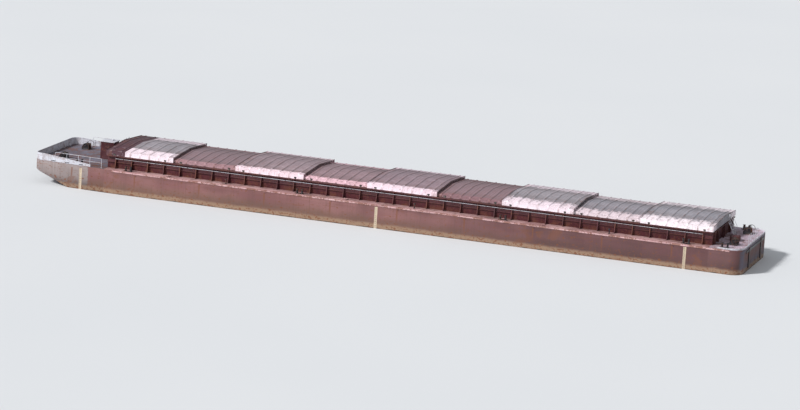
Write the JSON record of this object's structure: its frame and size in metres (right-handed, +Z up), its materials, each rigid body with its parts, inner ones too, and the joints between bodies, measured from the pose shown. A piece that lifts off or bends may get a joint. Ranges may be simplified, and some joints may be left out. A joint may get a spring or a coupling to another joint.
{
  "type": "river barge, 1:2 scale model",
  "caption": "Flat-bottomed dumb river barge with a raked bow, one long hold, rolling gabled hatch covers, coupling winches, bollards and hatches.",
  "frame": {"origin": "middle of the flat bottom, at the lowest point of the bounding box, half way between its ends and its sides", "axes": "+X runs aft from bow to stern, +Y points to starboard, +Z up"},
  "size_m": [38.25, 5.76, 2.66],
  "materials": {
    "bow_paint": "faded light grey-beige paint, rust stained",
    "hull_paint": "faded red-brown paint, rusting towards the waterline",
    "deck_paint": "worn brown-red deck paint",
    "coaming_paint": "dark maroon paint",
    "high_cover_paint": "pale pinkish white paint, streaked",
    "low_cover_paint": "dull brown-pink paint, worn",
    "black_paint": "black paint, greased",
    "pale_paint": "pale grey paint"
  },
  "bodies": {
    "hull": {"bollard_bow_port": "black_paint", "bollard_bow_starboard": "black_paint", "bollard_stern_port": "black_paint", "bollard_stern_starboard": "black_paint", "bow_bulwark": "pale_paint", "coaming_aft": "coaming_paint", "coaming_fore": "coaming_paint", "coaming_port": "coaming_paint", "coaming_starboard": "coaming_paint", "deck_aft": "deck_paint", "deck_fore": "deck_paint", "double_bottom": "hull_paint", "hatch_trunk": "coaming_paint", "head_bar": "black_paint", "hold_ladder_aft": "deck_paint", "hold_ladder_fore": "deck_paint", "hood_roof": "pale_paint", "hood_walls": "coaming_paint", "hull_bow": "bow_paint", "hull_stern": "hull_paint", "ladder_aft": "pale_paint", "ladder_fore": "pale_paint", "railing_bow_port": "pale_paint", "railing_bow_starboard": "pale_paint", "railing_stern": "pale_paint", "rubbing_strake_port": "hull_paint", "rubbing_strake_starboard": "hull_paint", "side_deck_port": "deck_paint", "side_deck_starboard": "deck_paint", "stern_toe_plate": "pale_paint", "transom_bars": "black_paint", "winch_frame_bow_port": "black_paint", "winch_frame_bow_starboard": "black_paint", "winch_frame_stern_port": "black_paint", "winch_frame_stern_starboard": "black_paint", "wing_tank_port": "hull_paint", "wing_tank_starboard": "hull_paint"},
    "hood_door": {"hood_door": "coaming_paint"},
    "hatch_lid": {"hatch_lid": "coaming_paint"},
    "cover_1_high": {"cover_1_high": "high_cover_paint"},
    "cover_3_high": {"cover_3_high": "high_cover_paint"},
    "cover_5_high": {"cover_5_high": "high_cover_paint"},
    "cover_7_high": {"cover_7_high": "high_cover_paint"},
    "cover_9_high": {"cover_9_high": "high_cover_paint"},
    "cover_2_low": {"cover_2_low": "low_cover_paint"},
    "cover_4_low": {"cover_4_low": "low_cover_paint"},
    "cover_6_low": {"cover_6_low": "low_cover_paint"},
    "cover_8_low": {"cover_8_low": "low_cover_paint"},
    "winch_drum_bow_port": {"winch_drum_bow_port": "black_paint"},
    "winch_handwheel_bow_port": {"winch_handwheel_bow_port": "black_paint"},
    "winch_drum_bow_starboard": {"winch_drum_bow_starboard": "black_paint"},
    "winch_handwheel_bow_starboard": {"winch_handwheel_bow_starboard": "black_paint"},
    "winch_drum_stern_port": {"winch_drum_stern_port": "black_paint"},
    "winch_handwheel_stern_port": {"winch_handwheel_stern_port": "black_paint"},
    "winch_drum_stern_starboard": {"winch_drum_stern_starboard": "black_paint"},
    "winch_handwheel_stern_starboard": {"winch_handwheel_stern_starboard": "black_paint"}
  },
  "joints": [
    {"name": "cover_1_high_roll", "type": "slide", "parent": "hull", "child": "cover_1_high", "axis": [1, 0, 0], "range_m": [0, 3.44]},
    {"name": "cover_2_low_roll", "type": "slide", "parent": "hull", "child": "cover_2_low", "axis": [1, 0, 0], "range_m": [-3.6, 3.6]},
    {"name": "cover_3_high_roll", "type": "slide", "parent": "hull", "child": "cover_3_high", "axis": [1, 0, 0], "range_m": [-3.44, 3.44]},
    {"name": "cover_4_low_roll", "type": "slide", "parent": "hull", "child": "cover_4_low", "axis": [1, 0, 0], "range_m": [-3.6, 3.6]},
    {"name": "cover_5_high_roll", "type": "slide", "parent": "hull", "child": "cover_5_high", "axis": [1, 0, 0], "range_m": [-3.44, 3.44]},
    {"name": "cover_6_low_roll", "type": "slide", "parent": "hull", "child": "cover_6_low", "axis": [1, 0, 0], "range_m": [-3.6, 3.6]},
    {"name": "cover_7_high_roll", "type": "slide", "parent": "hull", "child": "cover_7_high", "axis": [1, 0, 0], "range_m": [-3.44, 3.44]},
    {"name": "cover_8_low_roll", "type": "slide", "parent": "hull", "child": "cover_8_low", "axis": [1, 0, 0], "range_m": [-3.6, 3.6]},
    {"name": "cover_9_high_roll", "type": "slide", "parent": "hull", "child": "cover_9_high", "axis": [1, 0, 0], "range_m": [-3.44, 0]},
    {"name": "drum_bow_port_turn", "type": "hinge", "parent": "hull", "child": "winch_drum_bow_port", "pos_m": [-17.885, -1.5, 1.765], "axis": [0, 1, 0], "continuous": true},
    {"name": "handwheel_bow_port_turn", "type": "hinge", "parent": "hull", "child": "winch_handwheel_bow_port", "pos_m": [-17.76, -1.665, 1.795], "axis": [0, 1, 0], "continuous": true},
    {"name": "drum_bow_starboard_turn", "type": "hinge", "parent": "hull", "child": "winch_drum_bow_starboard", "pos_m": [-17.885, 1.5, 1.765], "axis": [0, 1, 0], "continuous": true},
    {"name": "handwheel_bow_starboard_turn", "type": "hinge", "parent": "hull", "child": "winch_handwheel_bow_starboard", "pos_m": [-17.76, 1.665, 1.795], "axis": [0, 1, 0], "continuous": true},
    {"name": "drum_stern_port_turn", "type": "hinge", "parent": "hull", "child": "winch_drum_stern_port", "pos_m": [18.335, -1.5, 1.765], "axis": [0, 1, 0], "continuous": true},
    {"name": "handwheel_stern_port_turn", "type": "hinge", "parent": "hull", "child": "winch_handwheel_stern_port", "pos_m": [18.46, -1.665, 1.795], "axis": [0, 1, 0], "continuous": true},
    {"name": "drum_stern_starboard_turn", "type": "hinge", "parent": "hull", "child": "winch_drum_stern_starboard", "pos_m": [18.335, 1.5, 1.765], "axis": [0, 1, 0], "continuous": true},
    {"name": "handwheel_stern_starboard_turn", "type": "hinge", "parent": "hull", "child": "winch_handwheel_stern_starboard", "pos_m": [18.46, 1.665, 1.795], "axis": [0, 1, 0], "continuous": true},
    {"name": "hood_door_swing", "type": "hinge", "parent": "hull", "child": "hood_door", "pos_m": [-16.3125, -0.21, 2.0225], "axis": [0, 0, 1], "range_deg": [0, 110]},
    {"name": "hatch_lid_swing", "type": "hinge", "parent": "hull", "child": "hatch_lid", "pos_m": [17.8915, -0.45, 1.785], "axis": [0, -1, 0], "range_deg": [0, 110]}
  ],
  "couplings": [
    {"joint": "handwheel_bow_port_turn", "follows": "drum_bow_port_turn", "ratio": -4},
    {"joint": "handwheel_bow_starboard_turn", "follows": "drum_bow_starboard_turn", "ratio": -4},
    {"joint": "handwheel_stern_port_turn", "follows": "drum_stern_port_turn", "ratio": -4},
    {"joint": "handwheel_stern_starboard_turn", "follows": "drum_stern_starboard_turn", "ratio": -4}
  ]
}
